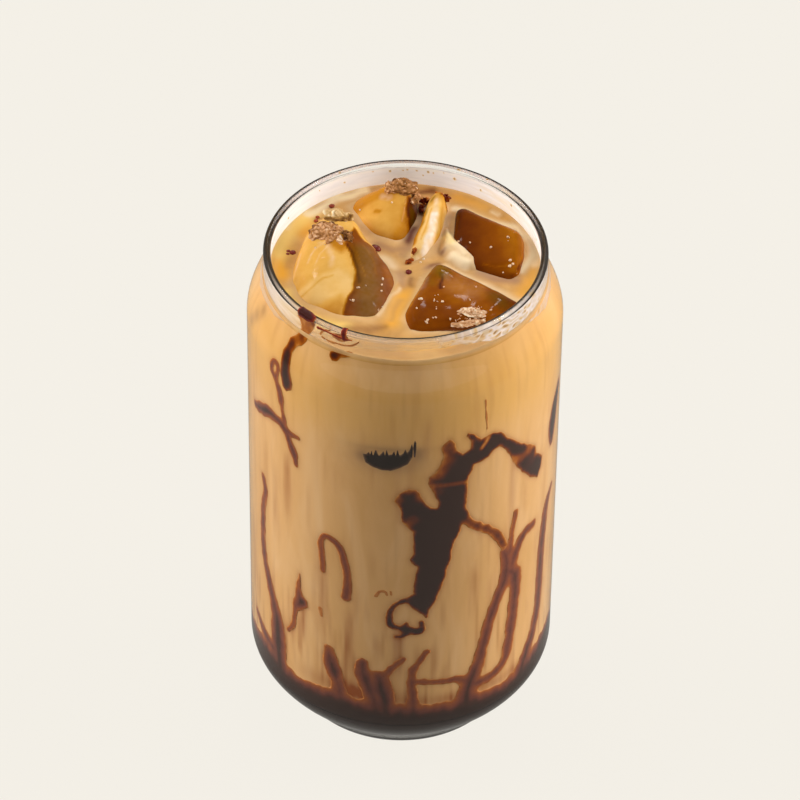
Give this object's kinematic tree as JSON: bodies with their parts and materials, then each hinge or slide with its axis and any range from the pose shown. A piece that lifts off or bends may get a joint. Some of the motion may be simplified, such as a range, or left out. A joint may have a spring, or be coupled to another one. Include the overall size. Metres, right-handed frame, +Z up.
{
  "type": "iced mocha in a glass",
  "caption": "Can-shaped clear glass filled with milky iced coffee, lumps of ice at the top, a dark pool of chocolate syrup at the bottom and streaks of syrup down the inside of the wall.",
  "frame": {"origin": "on the table, in the middle of the glass's foot", "axes": "+Z up along the glass's axis, -Y towards the picture's viewer, +X to the viewer's right"},
  "size_m": [0.0724, 0.0724, 0.133],
  "materials": {
    "clear_glass": "clear, smooth pressed soda-lime glass",
    "milky_coffee": "wet, opaque golden tan coffee with milk, swirled",
    "chocolate_syrup": "wet, glossy near-black brown, orange-brown where thin",
    "ice": "half-melted ice stained amber, wet and clear with frosty crusts"
  },
  "bodies": {
    "root": {"glass": "clear_glass", "drink": "milky_coffee", "syrup_pool": "chocolate_syrup", "syrup_front": "chocolate_syrup", "syrup_neck": "chocolate_syrup", "syrup_left": "chocolate_syrup", "syrup_loop": "chocolate_syrup", "syrup_tear": "chocolate_syrup", "syrup_side": "chocolate_syrup", "syrup_rim_drip": "chocolate_syrup", "ice_left": "ice", "ice_back": "ice", "ice_shard": "ice", "ice_right": "ice", "ice_front": "ice"}
  },
  "joints": []
}
